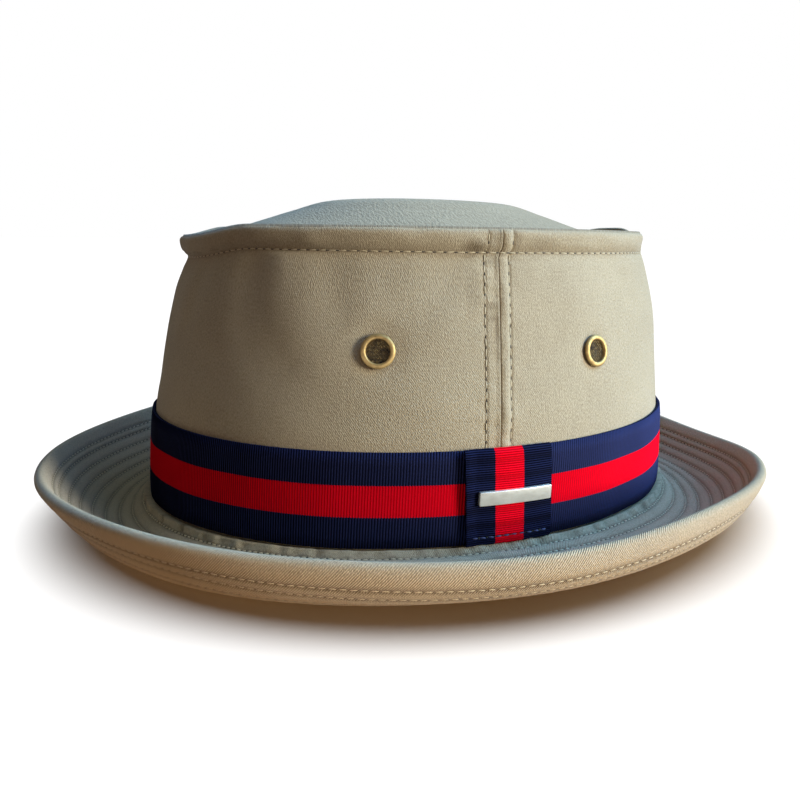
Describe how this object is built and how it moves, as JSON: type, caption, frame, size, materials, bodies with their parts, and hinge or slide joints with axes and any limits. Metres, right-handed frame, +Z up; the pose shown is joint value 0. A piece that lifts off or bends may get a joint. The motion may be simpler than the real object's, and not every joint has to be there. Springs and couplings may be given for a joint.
{
  "type": "pork pie hat",
  "caption": "Cotton twill pork pie hat with a pinched rim and domed top, turned-up stitched brim, striped ribbon band with tab and blank metal bar, and brass side vents.",
  "frame": {"origin": "centre of the brim's outline, on the surface that the hat rests on", "axes": "+Z up; the hat faces -Y, with its longer side along Y; +X is the wearer's left, where the tab and the bar are"},
  "size_m": [0.2514, 0.2824, 0.1194],
  "materials": {
    "wall_twill": "matte beige cotton twill with a soft diagonal weave",
    "top_twill": "matte beige cotton twill",
    "brim_twill": "matte beige cotton twill with rows of stitching",
    "band_ribbon": "ribbed ribbon, navy with a red middle stripe",
    "tab_ribbon": "ribbed ribbon turned upright, navy with a red middle stripe",
    "bar_metal": "antiqued silver, blank",
    "vent_brass": "antiqued brass",
    "vent_wire": "dark woven wire"
  },
  "bodies": {
    "root": {"brim": "brim_twill", "crown_panel_front": "wall_twill", "crown_panel_back": "wall_twill", "crown_top": "top_twill", "hat_band": "band_ribbon", "band_tab": "tab_ribbon", "name_bar": "bar_metal", "vent_ring_1": "vent_brass", "vent_ring_2": "vent_brass", "vent_ring_3": "vent_brass", "vent_ring_4": "vent_brass", "vent_mesh_1": "vent_wire", "vent_mesh_2": "vent_wire", "vent_mesh_3": "vent_wire", "vent_mesh_4": "vent_wire"}
  },
  "joints": []
}
